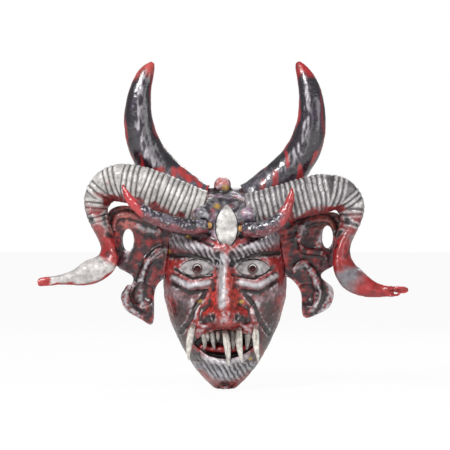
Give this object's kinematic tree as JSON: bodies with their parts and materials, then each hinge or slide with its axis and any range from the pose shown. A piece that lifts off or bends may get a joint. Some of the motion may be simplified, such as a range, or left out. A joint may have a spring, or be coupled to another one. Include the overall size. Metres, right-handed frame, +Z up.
{
  "type": "folk art mask",
  "caption": "Carved and painted wooden devil mask with upright, ram and small horns, carved ears, bone fangs and a forehead stone",
  "frame": {"origin": "the centre of the mouth of the hanging hole, in the flat back of the crown", "axes": "+Z up towards the horn tips, +X to the right as seen by a viewer in front of the mask, the face looks towards -Y, and the flat back lies in the plane Y = 0"},
  "size_m": [0.4536, 0.1036, 0.4073],
  "materials": {
    "carved_painted_wood": "carved light wood, enamelled red and silver, varnished",
    "ear_painted_wood": "carved light wood, enamelled and varnished",
    "upright_cow_horn": "polished cow horn, red edges, varnished",
    "ribbed_ram_horn": "ribbed ram horn, silver paint over grey, red back",
    "kid_horn": "small smooth horn, grey with a red tip, varnished",
    "bone_tooth": "scraped bone, white",
    "eye_shell": "smooth white shell or bone plate",
    "forehead_stone": "polished milky stone",
    "core_wood": "plain wood, not painted"
  },
  "bodies": {
    "root": {"face_shell": "carved_painted_wood", "forehead_stone": "forehead_stone", "front_fang_outer_left": "bone_tooth", "back_fang_outer_left": "bone_tooth", "front_fang_outer_right": "bone_tooth", "back_fang_outer_right": "bone_tooth", "front_fang_inner_left": "bone_tooth", "back_fang_inner_left": "bone_tooth", "front_fang_inner_right": "bone_tooth", "back_fang_inner_right": "bone_tooth", "small_tooth_left": "bone_tooth", "upright_horn_left": "upright_cow_horn", "ram_horn_left": "ribbed_ram_horn", "kid_horn_left": "kid_horn", "ear_left": "ear_painted_wood", "eye_left": "eye_shell", "upright_core_left": "core_wood", "ram_core_left": "core_wood", "kid_peg_left": "core_wood", "ear_dowels_left": "core_wood", "small_tooth_right": "bone_tooth", "upright_horn_right": "upright_cow_horn", "ram_horn_right": "ribbed_ram_horn", "kid_horn_right": "kid_horn", "ear_right": "ear_painted_wood", "eye_right": "eye_shell", "upright_core_right": "core_wood", "ram_core_right": "core_wood", "kid_peg_right": "core_wood", "ear_dowels_right": "core_wood"}
  },
  "joints": []
}
